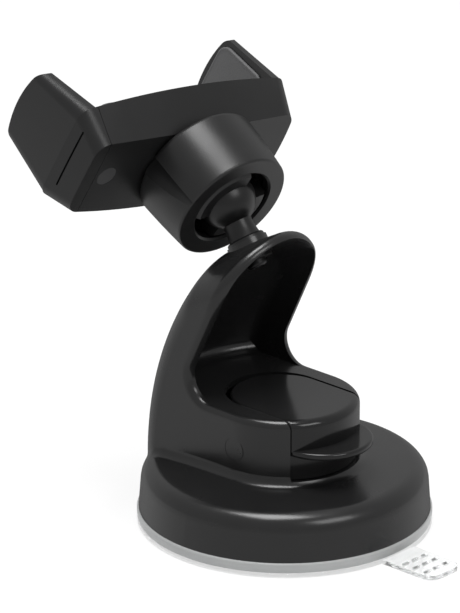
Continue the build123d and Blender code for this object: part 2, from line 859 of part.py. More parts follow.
def arm_outline(height, end, face, end_half, face_half, corner, bow):
    """Outline of an arm at a height: its outer side bows, and its two outer corners are round."""
    with BuildSketch(cradle.offset(height)) as outline:
        with BuildLine():
            Polyline((end, end_half), (face, face_half), (face, -face_half), (end, -end_half))
            ThreePointArc((end, -end_half), (end + bow, 0), (end, end_half))
        make_face()
        fillet(vertices().filter_by(lambda v: abs(v.X - end) < 0.01), corner)
    return outline.sketch


def bar_block():
    """The bar, both ends included: straight at the rear, bowed and taller in front."""
    with BuildPart() as bar:
        add(bar_outline(bar_rear, rear_ends, rear_top, rear_bottom))
        add(bar_outline(bar_front, (fixed_end, jaw_end), front_top, [-y for y in front_top]))
        loft(ruled=True)
    return bar.part


def arm_block(side, end, face):
    """A wedge-shaped arm on the end of the bar. Side is +1 at the jaw, -1 at the fixed end."""
    tip, tip_half = arm_tips[side]
    low = tip - arm_tip_bow
    tip_face = face + side * arm_lean
    tip_end = tip_face + side * arm_tip_thickness
    with BuildPart() as arm:
        root_end = end - side * arm_ledge
        root_halves = (front_half(end) - arm_ledge, front_half(face) - arm_ledge)
        bow = side * end_bows[side]
        add(arm_outline(bar_front, root_end, face, *root_halves, end_corner, bow))
        add(arm_outline(tip, tip_end, tip_face, tip_half, tip_half, arm_edge, bow))
        loft(ruled=True)
        with BuildSketch(square_to_x(0)):
            with BuildLine():
                Polyline(
                    (tip_half, low), (25, bar_front), (-25, bar_front), (-tip_half, low)
                )
                ThreePointArc((-tip_half, low), (0, tip), (tip_half, low))
            make_face()
            fillet(vertices().sort_by_distance((tip_half, low, 0))[0], tip_top_corner)
            fillet(vertices().sort_by_distance((-tip_half, low, 0))[0], tip_bottom_corner)
        extrude(amount=side * 50, mode=Mode.INTERSECT)
    return arm.part


def arm_face(side, face):
    """Plane of an arm's inner face: z towards the phone, y along the arm to its tip."""
    lean = math.atan2(arm_lean, arm_tips[side][0] - bar_front)
    inward = cradle.x_dir * (-side * math.cos(lean)) + cradle.z_dir * math.sin(lean)
    return Plane(
        origin=cradle.from_local_coords(Vector(face, 0, bar_front)),
        x_dir=cradle.y_dir * -side,
        z_dir=inward,
    )


def pad_outline(side, inset):
    """Outline of an arm pad in the plane of the arm's inner face."""
    arm_height, arm_half = arm_tips[side]
    tip_half = arm_half - 1.2 - inset
    tip = arm_height - bar_front - 1.9 - inset
    with BuildSketch(mode=Mode.PRIVATE) as outline:
        with BuildLine():
            Polyline(
                (-15.0 + inset, 2.2 + inset),
                (15.0 - inset, 2.2 + inset),
                (tip_half, tip),
                (-tip_half, tip),
                close=True,
            )
        make_face()
        fillet(vertices().sort_by_distance((side * tip_half, tip, 0))[0], tip_bottom_corner - 1.0)
        fillet(vertices().sort_by_distance((-side * tip_half, tip, 0))[0], tip_top_corner - 1.0)
        fillet(vertices().group_by(Axis.Y)[0], 3.0)
    return outline.sketch


def arm_pad(side, face, inset, depth, height):
    """A pad on an arm's inner face, or the tool that cuts its pocket."""
    plane = arm_face(side, face)
    with BuildPart() as pad:
        with BuildSketch(plane.offset(-depth)):
            add(pad_outline(side, inset))
        extrude(amount=depth + height)
    return pad.part


with BuildPart() as cradle_body:
    add(bar_block())
    add(arm_block(-1, fixed_end, fixed_face))
    # The bar stops at the seam, where the jaw's end block begins
    with BuildSketch(square_to_x(seam_x)):
        with Locations((0, 35)):
            Rectangle(60, 50)
    extrude(amount=20, mode=Mode.SUBTRACT)
    # Cavity for the slide, the recess of the front plate and the ball tube
    with BuildSketch(cradle.offset(cavity_floor)):
        with Locations(((cavity_left + seam_x + 1) / 2, 0)):
            Rectangle(seam_x + 1 - cavity_left, 2 * cavity_half)
    extrude(amount=plate_back - cavity_floor + 0.5, mode=Mode.SUBTRACT)
    with BuildSketch(cradle.offset(plate_back)):
        with Locations(((plate_left - 0.1 + seam_x + 1) / 2, 0)):
            Rectangle(seam_x + 1 - plate_left + 0.1, 2 * plate_half + 0.2)
    extrude(amount=bar_front - plate_back + 0.01, mode=Mode.SUBTRACT)
    with BuildSketch(cradle.offset(rib_foot)):
        with Locations(((rib_left + rib_right) / 2, 0)):
            Rectangle(rib_right - rib_left, 2 * cavity_half + 1)
    extrude(amount=plate_back - rib_foot)
    with BuildSketch(cradle.offset(tube_start)):
        Circle(tube_radius)
    extrude(amount=bar_rear - tube_start + 0.5)
    with BuildSketch(cradle.offset(tube_start)):
        Circle(tube_bore)
    extrude(amount=bar_rear - tube_start, mode=Mode.SUBTRACT)
    # Bores for the guide rods and pilot holes for the plate's screws
    with BuildSketch(square_to_x(rod_left)):
        with Locations((rod_y, rod_z), (-rod_y, rod_z)):
            Circle(rod_radius + 0.02)
    extrude(amount=rib_right - rod_left + 0.05, mode=Mode.SUBTRACT)
    with BuildSketch(cradle.offset(plate_back - 5.6)):
        with Locations(*plate_screw_spots):
            Circle(0.82)
    extrude(amount=6, mode=Mode.SUBTRACT)
    # Seat of the screw plug
    with BuildSketch(cradle.offset(bar_rear)):
        with Locations((plug_x, plug_y)):
            Circle(plug_radius + 0.05)
    extrude(amount=0.9, mode=Mode.SUBTRACT)
    add(arm_pad(-1, fixed_face, 0, arm_pad_depth, 0.5), mode=Mode.SUBTRACT)

cradle_body.part.label = "cradle_body"
export_step(cradle_body.part, "parts/cradle_body.step")

with BuildPart() as front_plate:
    with BuildSketch(cradle.offset(plate_back + 0.01)):
        with Locations(((plate_left + seam_x) / 2, 0)):
            Rectangle(seam_x - plate_left, 2 * plate_half)
    extrude(amount=bar_front - plate_back - 0.01)
    with BuildSketch(cradle.offset(plate_back)):
        with Locations(*plate_screw_spots):
            Circle(1.0)
    extrude(amount=2, mode=Mode.SUBTRACT)
    with BuildSketch(cradle.offset(bar_front - 0.7)):
        with Locations(*plate_screw_spots):
            Circle(1.75)
    extrude(amount=1, mode=Mode.SUBTRACT)

front_plate.part.label = "front_plate"
export_step(front_plate.part, "parts/front_plate.step")

with BuildPart() as plate_screws:
    for x, y in plate_screw_spots:
        seat = Plane(
            origin=cradle.from_local_coords(Vector(x, y, bar_front - 0.68)),
            x_dir=cradle.x_dir,
            z_dir=cradle.z_dir,
        )
        add(pan_screw(seat, 1.65, 0.6, 0.8, 6))

plate_screws.part.label = "plate_screws"
export_step(plate_screws.part, "parts/plate_screws.step")

with BuildPart() as back_pad:
    with BuildSketch(cradle.offset(bar_front + 0.02)):
        with Locations(((fixed_face + 1.6 + seam_x - 1.0) / 2, 0)):
            Rectangle(seam_x - 1.0 - fixed_face - 1.6, 2 * back_pad_half)
        fillet(vertices(), 4.0)
    extrude(amount=back_pad_thickness)
    fillet(back_pad.faces().filter_by(
        lambda f: abs(local(f).Z - bar_front - back_pad_thickness - 0.02) < 0.01
    ).edges(), 0.5)

back_pad.part.label = "back_pad"
export_step(back_pad.part, "parts/back_pad.step")

fixed_arm_pad = arm_pad(-1, fixed_face, 0.08, arm_pad_depth - 0.02, arm_pad_height)
fixed_arm_pad.label = "fixed_arm_pad"
export_step(fixed_arm_pad, "parts/fixed_arm_pad.step")

with BuildPart() as guide_rods:
    with BuildSketch(square_to_x(rod_left + 0.1)):
        with Locations((rod_y, rod_z), (-rod_y, rod_z)):
            Circle(rod_radius)
    extrude(amount=rib_right - rod_left - 0.1)

guide_rods.part.label = "guide_rods"
export_step(guide_rods.part, "parts/guide_rods.step")

with BuildPart() as screw_plug:
    with BuildSketch(cradle.offset(bar_rear + 0.02)):
        with Locations((plug_x, plug_y)):
            Circle(plug_radius)
    extrude(amount=0.86)

screw_plug.part.label = "screw_plug"
export_step(screw_plug.part, "parts/screw_plug.step")

# ---- Sliding jaw --------------------------------------------------------------------------------

carriage_middle = tongue_left + carriage_length / 2
carriage_screw_spots = ((carriage_middle, 2), (carriage_middle, -2))

with BuildPart() as sliding_jaw:
    add(bar_block())
    add(arm_block(1, jaw_end, jaw_face))
    with BuildSketch(square_to_x(seam_x + seam_gap)):
        with Locations((0, 35)):
            Rectangle(60, 50)
    extrude(amount=-100, mode=Mode.SUBTRACT)
    with BuildSketch(cradle.offset(tongue_rear)):
        with Locations(((tongue_left + seam_x + 1) / 2, 0)):
            Rectangle(seam_x + 1 - tongue_left, 2 * tongue_half)
    extrude(amount=tongue_front - tongue_rear)
    with BuildSketch(cradle.offset(tongue_rear - 0.5)):
        with Locations(*carriage_screw_spots):
            Circle(0.82)
    extrude(amount=4, mode=Mode.SUBTRACT)
    add(arm_pad(1, jaw_face, 0, arm_pad_depth, 0.5), mode=Mode.SUBTRACT)
    # A shallow crease across the end
    with BuildSketch(square_to_x(jaw_end - 1.0)):
        with Locations((crease_middle, crease_z)):
            SlotOverall(crease_length, 0.6)
    extrude(amount=3, mode=Mode.SUBTRACT)

sliding_jaw.part.label = "sliding_jaw"
export_step(sliding_jaw.part, "parts/sliding_jaw.step")

jaw_pad = arm_pad(1, jaw_face, 0.08, arm_pad_depth - 0.02, arm_pad_height)
jaw_pad.label = "jaw_pad"
export_step(jaw_pad, "parts/jaw_pad.step")

with BuildPart() as jaw_carriage:
    with BuildSketch(cradle.offset(tongue_front + 0.02)):
        with Locations((tongue_left + carriage_length / 2, 0)):
            Rectangle(carriage_length, 2 * tongue_half)
    extrude(amount=carriage_front - tongue_front - 0.02)
    with BuildSketch(square_to_x(tongue_left - 1)):
        with Locations((rod_y, rod_z), (-rod_y, rod_z)):
            Circle(rod_radius + 0.08)
    extrude(amount=carriage_length + 2, mode=Mode.SUBTRACT)
    with BuildSketch(cradle.offset(tongue_front)):
        with Locations(*carriage_screw_spots):
            Circle(1.0)
    extrude(amount=6, mode=Mode.SUBTRACT)
    with BuildSketch(cradle.offset(carriage_front - 0.8)):
        with Locations(*carriage_screw_spots):
            Circle(1.75)
    extrude(amount=2, mode=Mode.SUBTRACT)

jaw_carriage.part.label = "jaw_carriage"
export_step(jaw_carriage.part, "parts/jaw_carriage.step")

with BuildPart() as carriage_screws:
    for x, y in carriage_screw_spots:
        seat = Plane(
            origin=cradle.from_local_coords(Vector(x, y, carriage_front - 0.78)),
            x_dir=cradle.x_dir,
            z_dir=cradle.z_dir,
        )
        add(pan_screw(seat, 1.65, 0.7, 0.8, 5))

carriage_screws.part.label = "carriage_screws"
export_step(carriage_screws.part, "parts/carriage_screws.step")

with BuildPart() as return_springs:
    for y in (rod_y, -rod_y):
        spring_seat = Plane(
            origin=cradle.from_local_coords(Vector(tongue_left + carriage_length + 0.05, y, rod_z)),
            x_dir=cradle.y_dir,
            z_dir=cradle.x_dir,
        )
        add(coil(spring_seat, 1.6, 0.2, rib_left - tongue_left - carriage_length - 0.1, 10))

return_springs.part.label = "return_springs"
export_step(return_springs.part, "parts/return_springs.step")
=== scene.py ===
import json
import math

import bpy
import numpy as np
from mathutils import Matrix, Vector


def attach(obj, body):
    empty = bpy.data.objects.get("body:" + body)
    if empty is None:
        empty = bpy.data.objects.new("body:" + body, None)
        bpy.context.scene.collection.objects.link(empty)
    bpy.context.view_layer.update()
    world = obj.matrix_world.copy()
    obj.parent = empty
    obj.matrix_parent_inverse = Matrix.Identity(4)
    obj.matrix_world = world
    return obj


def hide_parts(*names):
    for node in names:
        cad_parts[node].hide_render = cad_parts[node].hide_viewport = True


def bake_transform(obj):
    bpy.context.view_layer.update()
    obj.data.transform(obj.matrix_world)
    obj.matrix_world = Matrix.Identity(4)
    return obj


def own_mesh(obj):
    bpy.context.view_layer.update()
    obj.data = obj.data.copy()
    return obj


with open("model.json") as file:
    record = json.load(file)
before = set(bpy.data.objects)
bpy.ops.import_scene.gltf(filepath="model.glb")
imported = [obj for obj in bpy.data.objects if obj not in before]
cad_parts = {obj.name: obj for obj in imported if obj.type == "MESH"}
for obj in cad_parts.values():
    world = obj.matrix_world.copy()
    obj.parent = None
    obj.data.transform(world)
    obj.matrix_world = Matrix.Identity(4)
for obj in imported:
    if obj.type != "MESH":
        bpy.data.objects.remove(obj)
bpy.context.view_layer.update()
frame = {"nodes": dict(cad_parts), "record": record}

mm = 0.001
scene = bpy.context.scene


# shader maths: a Value is one output socket, and Python's operators add Math nodes


class Value:
    def __init__(self, shader, socket):
        self.shader = shader
        self.socket = socket

    def maths(self, operation, other):
        sockets = {0: self, 1: other}
        return self.shader.put("ShaderNodeMath", {"operation": operation}, sockets)["Value"]

    def flipped(self, operation, other):
        sockets = {0: other, 1: self}
        return self.shader.put("ShaderNodeMath", {"operation": operation}, sockets)["Value"]

    def __add__(self, other):
        return self.maths("ADD", other)

    def __radd__(self, other):
        return self.flipped("ADD", other)

    def __mul__(self, other):
        return self.maths("MULTIPLY", other)

    def __rmul__(self, other):
        return self.flipped("MULTIPLY", other)

    # 0 below the first edge, 1 above the second, smooth between them
    def step(self, low, high):
        sockets = {"Value": self, "From Min": low, "From Max": high}
        settings = {"interpolation_type": "SMOOTHSTEP"}
        return self.shader.put("ShaderNodeMapRange", settings, sockets)["Result"]


class Placed:
    # a node whose outputs are read by name as Values
    def __init__(self, shader, node):
        self.shader = shader
        self.node = node

    def __getitem__(self, name):
        return Value(self.shader, self.node.outputs[name])


class Shader:
    def __init__(self, name):
        self.material = bpy.data.materials.new(name)
        self.material.use_nodes = True
        self.tree = self.material.node_tree
        self.tree.nodes.clear()

    def put(self, kind, settings=None, sockets=None):
        node = self.tree.nodes.new(kind)
        for key, setting in (settings or {}).items():
            setattr(node, key, setting)
        for key, source in (sockets or {}).items():
            socket = node.inputs[key]
            if isinstance(source, Value):
                self.tree.links.new(source.socket, socket)
            else:
                socket.default_value = source
        return Placed(self, node)

    # colours mixed: factor 0 gives the first, 1 the second; inputs 6 and 7 are the colour ones
    def mix(self, factor, first, second):
        mixed = self.put("ShaderNodeMix", {"data_type": "RGBA"}, {0: factor, 6: first, 7: second})
        return Value(self, mixed.node.outputs[2])

    def place(self):
        return self.put("ShaderNodeTexCoord")["Object"]

    def noise(self, size, detail=2.0):
        sockets = {"Vector": self.place(), "Scale": 1.0 / size, "Detail": detail}
        return self.put("ShaderNodeTexNoise", {}, sockets)["Fac"]

    def bump(self, height, depth):
        return self.put("ShaderNodeBump", {}, {"Height": height, "Distance": depth})["Normal"]

    def surface(self, **sockets):
        named = {key.replace("_", " "): source for key, source in sockets.items()}
        principled = self.put("ShaderNodeBsdfPrincipled", {}, named)
        self.put("ShaderNodeOutputMaterial", {}, {"Surface": principled["BSDF"]})
        return self.material


blueTint = 1.02  # every grey here is a trace bluer than neutral


def grey(level):
    return (level, level, level * blueTint, 1.0)


# finishes of the moulded pieces
mouldedFinishes = {
    "housingPlastic": {
        "level": 0.0065, "roughness": 0.25, "haze": 0.06, "grain": 0.004, "gloss": 0.42,
    },
    "leverPlastic": {
        "level": 0.0065, "roughness": 0.14, "haze": 0.04, "grain": 0.002, "gloss": 0.32,
    },
    "ballPlastic": {
        "level": 0.005, "roughness": 0.33, "haze": 0.05, "grain": 0.002, "gloss": 0.34,
    },
    "cradlePlastic": {
        "level": 0.007, "roughness": 0.34, "haze": 0.06, "grain": 0.010, "gloss": 0.33,
    },
    "nutPlastic": {
        "level": 0.007, "roughness": 0.34, "haze": 0.06, "grain": 0.012, "gloss": 0.36,
    },
    "plugPlastic": {
        "level": 0.022, "roughness": 0.42, "haze": 0.06, "grain": 0.010, "gloss": 0.5,
    },
    "colletPlastic": {
        "level": 0.007, "roughness": 0.32, "haze": 0.06, "grain": 0.004, "gloss": 0.4,
    },
    "innerPlastic": {
        "level": 0.040, "roughness": 0.42, "haze": 0.08, "grain": 0.010, "gloss": 0.5,
    },
}

# what all of them share; sizes are in mm
mouldedSkin = {
    "cloudSize": 11.0, "cloudDetail": 3.0, "grainSize": 0.35, "grainDetail": 1.0,
    "dust": (0.35, 0.8), "dustier": 1.12, "hazy": (0.3, 0.75), "bend": 1.42,
    "edgeRoughness": 0.8, "edgeGloss": 0.12, "edge": (0.35, 0.95), "edgeShare": 0.85,
}


# moulded plastic: a faint spark-eroded grain, slow haze in the gloss and a little dust-grey; its
# sheen dies away where the surface turns edge-on, as it does over a fine grain
def mouldedPlastic(name, level, roughness, haze, grain, gloss):
    skin = mouldedSkin
    shader = Shader(name)
    cloud = shader.noise(skin["cloudSize"] * mm, detail=skin["cloudDetail"])
    fine = shader.noise(skin["grainSize"] * mm, detail=skin["grainDetail"])
    dusty = grey(level * skin["dustier"])
    colour = shader.mix(cloud.step(*skin["dust"]), grey(level), dusty)
    normal = shader.bump(fine, grain * mm)
    shiny = {
        "Base Color": colour,
        "Roughness": cloud.step(*skin["hazy"]) * haze + (roughness - haze / 2),
        "Normal": normal,
        "IOR": skin["bend"],
        "Specular IOR Level": gloss,
    }
    matt = {
        "Base Color": colour,
        "Roughness": skin["edgeRoughness"],
        "Normal": normal,
        "Specular IOR Level": skin["edgeGloss"],
    }
    facing = shader.put("ShaderNodeLayerWeight", {}, {"Blend": 0.5})["Facing"]
    sockets = {
        0: facing.step(*skin["edge"]) * skin["edgeShare"],
        1: shader.put("ShaderNodeBsdfPrincipled", {}, shiny)["BSDF"],
        2: shader.put("ShaderNodeBsdfPrincipled", {}, matt)["BSDF"],
    }
    mixed = shader.put("ShaderNodeMixShader", {}, sockets)["Shader"]
    shader.put("ShaderNodeOutputMaterial", {}, {"Surface": mixed})
    return shader.material


# rubber: matt, with a fine pebbled skin
padRubberLook = {
    "pebble": 0.55, "pebbleDepth": 0.03, "smoothness": 0.6, "cloudSize": 7.0, "cloudDetail": 3.0,
    "dark": 0.055, "light": 0.070, "roughness": 0.56, "haze": 0.12, "bend": 1.5,
}


def padRubber(look):
    shader = Shader("padRubber")
    pebbles = shader.put(
        "ShaderNodeTexVoronoi", {"feature": "SMOOTH_F1"},
        {
            "Vector": shader.place(), "Scale": 1.0 / (look["pebble"] * mm),
            "Smoothness": look["smoothness"],
        },
    )["Distance"]
    cloud = shader.noise(look["cloudSize"] * mm, detail=look["cloudDetail"])
    return shader.surface(
        Base_Color=shader.mix(cloud, grey(look["dark"]), grey(look["light"])),
        Roughness=cloud * look["haze"] + look["roughness"],
        Normal=shader.bump(pebbles, look["pebbleDepth"] * mm),
        IOR=look["bend"],
    )


# translucent soft plastic of the cup
cupRubberLook = {
    "cloudSize": 6.0, "cloudDetail": 3.0, "roughness": 0.28, "haze": 0.10,
    "dark": (0.43, 0.44, 0.44, 1), "light": (0.50, 0.51, 0.51, 1),
    "milky": 0.35, "milkyReach": (0.004, 0.004, 0.004), "clear": 0.35, "bend": 1.42,
}


def cupRubber(look):
    shader = Shader("cupRubber")
    cloud = shader.noise(look["cloudSize"] * mm, detail=look["cloudDetail"])
    return shader.surface(
        Base_Color=shader.mix(cloud, look["dark"], look["light"]),
        Roughness=cloud * look["haze"] + look["roughness"],
        Subsurface_Weight=look["milky"],
        Subsurface_Radius=look["milkyReach"],
        Transmission_Weight=look["clear"],
        IOR=look["bend"],
    )


# clear gel of the pad and its tab, with a few specks caught in it; the thin disc shows what lies
# behind it, and the tab, past the given y, bends it
clearGelLook = {
    "tabFrom": 42.3, "tabRun": 0.7, "discAlpha": 0.28, "tabMore": 0.72,
    "cloudSize": 5.0, "cloudDetail": 4.0, "speckSize": 0.8, "speckDetail": 2.0,
    "specks": (0.66, 0.72), "plain": (0.96, 0.97, 0.97, 1), "speck": (0.78, 0.79, 0.79, 1),
    "roughness": 0.04, "haze": 0.10, "clear": 0.94, "bend": 1.16,
    "coat": 0.6, "coatRoughness": 0.06, "waves": 0.05,
}


def clearGel(look):
    shader = Shader("clearGel")
    y = shader.put("ShaderNodeSeparateXYZ", {}, {"Vector": shader.place()})["Y"]
    cloud = shader.noise(look["cloudSize"] * mm, detail=look["cloudDetail"])
    fine = shader.noise(look["speckSize"] * mm, detail=look["speckDetail"])
    tabFrom = look["tabFrom"] * mm
    onTab = y.step(tabFrom, tabFrom + look["tabRun"] * mm)
    return shader.surface(
        Base_Color=shader.mix(fine.step(*look["specks"]), look["plain"], look["speck"]),
        Roughness=cloud * look["haze"] + look["roughness"],
        Transmission_Weight=look["clear"],
        IOR=look["bend"],
        Coat_Weight=look["coat"],
        Coat_Roughness=look["coatRoughness"],
        Alpha=onTab * look["tabMore"] + look["discAlpha"],
        Normal=shader.bump(cloud, look["waves"] * mm),
    )


# turned or drawn steel
steelFinishes = {
    "steel": {"level": 0.52, "roughness": 0.26},
    "springSteel": {"level": 0.42, "roughness": 0.32},
    # painted shade: steel made near black, standing for the shade under the hood over the stud
    # screw and washer
    "blackSteel": {"level": 0.02, "roughness": 0.38},
}
steelSkin = {
    "lineSize": 0.25, "lineDetail": 2.0, "lineDepth": 0.003, "cloudSize": 4.0, "cloudDetail": 2.0,
    "lighter": 1.15, "haze": 0.12,
}


def steel(name, level, roughness):
    skin = steelSkin
    shader = Shader(name)
    lines = shader.noise(skin["lineSize"] * mm, detail=skin["lineDetail"])
    cloud = shader.noise(skin["cloudSize"] * mm, detail=skin["cloudDetail"])
    return shader.surface(
        Base_Color=shader.mix(cloud, grey(level), grey(level * skin["lighter"])),
        Metallic=1.0,
        Roughness=cloud * skin["haze"] + roughness,
        Normal=shader.bump(lines, skin["lineDepth"] * mm),
    )


finishes = {name: mouldedPlastic(name, **values) for name, values in mouldedFinishes.items()}
finishes["padRubber"] = padRubber(padRubberLook)
finishes["cupRubber"] = cupRubber(cupRubberLook)
finishes["clearGel"] = clearGel(clearGelLook)
finishes.update({name: steel(name, **values) for name, values in steelFinishes.items()})
shadeDarkNodes = ("stud_screw", "stud_washer")  # painted shade: their steel is made near black to stand for the shade under the hood round them
print("finishes made:", len(finishes))


# CAD nodes that keep their own shape take the finish of their slot, except the stud screw and
# washer, whose steel is painted near black as shade


def camel(name):
    head, *rest = name.split("_")
    return head + "".join(word.capitalize() for word in rest)


slotOf = {entry["node"]: entry["material_slot"] for entry in frame["record"]["subparts"]}


def finish(piece, material):
    piece.data.materials.clear()
    piece.data.materials.append(material)


for nodeName, cadObject in frame["nodes"].items():
    for materialSlot in cadObject.material_slots:
        # the stud screw and washer take the steel painted near black as shade
        chosen = "blackSteel" if nodeName in shadeDarkNodes else camel(slotOf[nodeName])
        materialSlot.material = finishes[chosen]
print("CAD nodes finished:", len(frame["nodes"]))


# soft pieces: closed surfaces worked out on grids


def unit(vector):
    return vector / np.linalg.norm(vector)


joints = {joint["name"]: joint for joint in frame["record"]["behaviour"]["joints"]}
ballCentre = np.array(joints["cradle_spin"]["pos_m"]) / mm
towardsPhone = unit(np.array(joints["cradle_spin"]["axis"]))
towardsJaw = unit(np.array(joints["jaw_open"]["axis"]))
upThePhone = np.cross(towardsPhone, towardsJaw)


# rings[i, j] is point j of ring i, in mm; neighbouring rings are joined by quads, and each end is
# closed by a fan about its middle; the volume's sign says whether the faces point outwards
def ringMesh(name, rings, body, slotName, nodeName):
    count, around = rings.shape[:2]
    points = np.concatenate([rings.reshape(-1, 3), rings[:1].mean(1), rings[-1:].mean(1)]) * mm
    here = np.arange(count * around).reshape(count, around)
    beside = np.roll(here, -1, axis=1)
    quads = np.stack([here[:-1], beside[:-1], beside[1:], here[1:]], -1).reshape(-1, 4)
    first = np.full(around, count * around)
    fans = np.concatenate([
        np.stack([beside[0], here[0], first], -1),
        np.stack([here[-1], beside[-1], first + 1], -1),
    ])
    triangles = np.concatenate([quads[:, :3], quads[:, [0, 2, 3]], fans])
    corners = points[triangles]
    volume = np.einsum("ij,ij->", corners[:, 0], np.cross(corners[:, 1], corners[:, 2]))
    if volume < 0:
        quads = quads[:, ::-1]
        fans = fans[:, ::-1]
    mesh = bpy.data.meshes.new(name)
    mesh.from_pydata(points.tolist(), [], quads.tolist() + fans.tolist())
    mesh.polygons.foreach_set("use_smooth", np.ones(len(mesh.polygons), bool))
    piece = bpy.data.objects.new(name, mesh)
    scene.collection.objects.link(piece)
    finish(piece, finishes[camel(slotName)])
    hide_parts(nodeName)
    if body:
        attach(piece, body)
    print(name, "faces:", len(mesh.polygons))
    return piece


# the corners joined by straight runs, each corner an arc that touches both of its runs: its middle
# lies on the corner's bisector, the radius over the sine of half the corner's angle away; a point
# on a straight run has no bisector, so its radius must be 0, or its points come out as nan
def roundedLine(corners, radii, steps=9):
    corners = np.asarray(corners, float)
    share = np.linspace(0, 1, steps)[:, None]
    runs = []
    for index, radius in enumerate(radii):
        corner = corners[index]
        if radius == 0:
            runs.append(corner[None])
            continue
        back = unit(corners[index - 1] - corner)
        ahead = unit(corners[(index + 1) % len(corners)] - corner)
        half = math.acos(back @ ahead) / 2
        middle = corner + unit(back + ahead) * radius / math.sin(half)
        start = corner + back * radius / math.tan(half) - middle
        end = corner + ahead * radius / math.tan(half) - middle
        turn = math.pi - 2 * half
        arc = np.sin((1 - share) * turn) * start + np.sin(share * turn) * end
        runs.append(middle + arc / math.sin(turn))
    return np.concatenate(runs)


# a closed line as points at equal steps of its length
def evenly(line, count):
    closed = np.concatenate([line, line[:1]])
    along = np.concatenate([[0], np.cumsum(np.linalg.norm(np.diff(closed, axis=0), axis=1))])
    places = np.arange(count) / count * along[-1]
    return np.stack([np.interp(places, along, closed[:, k]) for k in (0, 1)], -1)


# how many rings of a pad lie under it, round its rim and over its top; the innermost ring below and
# above, as a share of the outline; the bevel at its foot; and how soon its relief sets in
padGrid = {
    "under": 8, "round": 9, "over": 45, "innerUnder": 0.08, "innerOver": 0.03,
    "bevel": 0.12, "setsIn": 0.05, "tiny": 1e-6,
}


# a pad as rings from the middle of its underside, out round its rim and in over its top: each ring
# is the outline moved in by an inset and drawn in to the middle by a share
def padRings(outline, thickness, rim, crown, relief):
    bevel = padGrid["bevel"]
    ahead = np.roll(outline, -1, axis=0) - np.roll(outline, 1, axis=0)
    ahead /= np.linalg.norm(ahead, axis=1)[:, None]
    inwards = np.stack([-ahead[:, 1], ahead[:, 0]], -1)
    middle = outline.mean(0)
    under = np.linspace(padGrid["innerUnder"], 1, padGrid["under"])
    turn = np.linspace(0, math.pi / 2, padGrid["round"])
    over = np.linspace(1, padGrid["innerOver"], padGrid["over"] + 1)[1:]
    inset = np.concatenate([
        np.full_like(under, bevel), [0.0], rim * (1 - np.cos(turn)), np.full_like(over, rim)
    ])
    height = np.concatenate([
        0 * under, [bevel], thickness - rim + rim * np.sin(turn), np.full_like(over, thickness)
    ])
    share = np.concatenate([under, [1.0], np.ones_like(turn), over])
    flat = middle + (outline + inwards * inset[:, None, None] - middle) * share[:, None, None]
    x, y = flat[..., 0], flat[..., 1]
    onTop = (height >= thickness - padGrid["tiny"])[:, None]
    top = onTop * np.clip((1 - share) / padGrid["setsIn"], 0, 1)[:, None]
    lift = top * (relief(x, y) - crown * share[:, None] ** 2)
    return np.stack([x, y, height[:, None] + lift], -1)


def placed(rings, origin, across, up, out):
    return origin + rings[..., :1] * across + rings[..., 1:2] * up + rings[..., 2:] * out


def fromBall(x, y, z):
    return ballCentre + x * towardsJaw + y * upThePhone + z * towardsPhone


# pads of the two arms: moulded elastomer, gently crowned, with a rounded rim
armPads = {
    "foot": 2.28, "footHalf": 14.92, "tipGap": 1.98,
    "footCorner": 3.0, "topCorner": 4.5, "bottomCorner": 7.0,
    "leanRun": 1.2, "depth": 0.78, "thickness": 1.56, "rim": 0.55, "crown": 0.12, "barFront": 27.2,
    "outlinePoints": 260, "waveDepth": 0.02, "waveAcross": 0.9, "waveUp": 0.8,
    "pads": {
        "jawPad": {
            "node": "jaw_pad", "body": "jaw", "side": 1, "face": 38.05, "length": 22.1,
            "tipHalf": 11.12,
        },
        "fixedArmPad": {
            "node": "fixed_arm_pad", "body": "cradle", "side": -1, "face": -29.2, "length": 24.3,
            "tipHalf": 11.92,
        },
    },
}


def makeArmPads(settings):
    # a slight waviness, as moulded rubber has
    def waves(x, y):
        across = np.sin(x * settings["waveAcross"])
        return settings["waveDepth"] * across * np.sin(y * settings["waveUp"])

    for name, pad in settings["pads"].items():
        side = pad["side"]
        lean = math.atan2(settings["leanRun"], pad["length"])
        tip = pad["length"] - settings["tipGap"]
        tipCorners = (settings["bottomCorner"], settings["topCorner"])[::side]
        corners = [
            (-settings["footHalf"], settings["foot"]), (settings["footHalf"], settings["foot"]),
            (pad["tipHalf"], tip), (-pad["tipHalf"], tip),
        ]
        radii = (settings["footCorner"], settings["footCorner"], *tipCorners)
        outline = evenly(roundedLine(corners, radii), settings["outlinePoints"])
        rings = padRings(outline, settings["thickness"], settings["rim"], settings["crown"], waves)
        out = -side * math.cos(lean) * towardsJaw + math.sin(lean) * towardsPhone
        across = -side * upThePhone
        origin = fromBall(pad["face"], 0, settings["barFront"]) - out * settings["depth"]
        rings = placed(rings, origin, across, np.cross(out, across), out)
        piece = ringMesh(name, rings, pad["body"], "pad_rubber", pad["node"])


makeArmPads(armPads)

# pad behind the phone: long shallow grooves let it grip and bend
backPad = {
    "ends": (-27.6, 36.2), "half": 16.3, "corner": 4.0, "foot": 27.22,
    "thickness": 1.6, "rim": 0.5, "crown": 0.1,
    "grooveEvery": 5.4, "grooveHalf": 0.55, "grooveDeep": 0.45, "grooveEnd": 4.0,
    "grooveMargin": 2.5, "outlinePoints": 400,
}


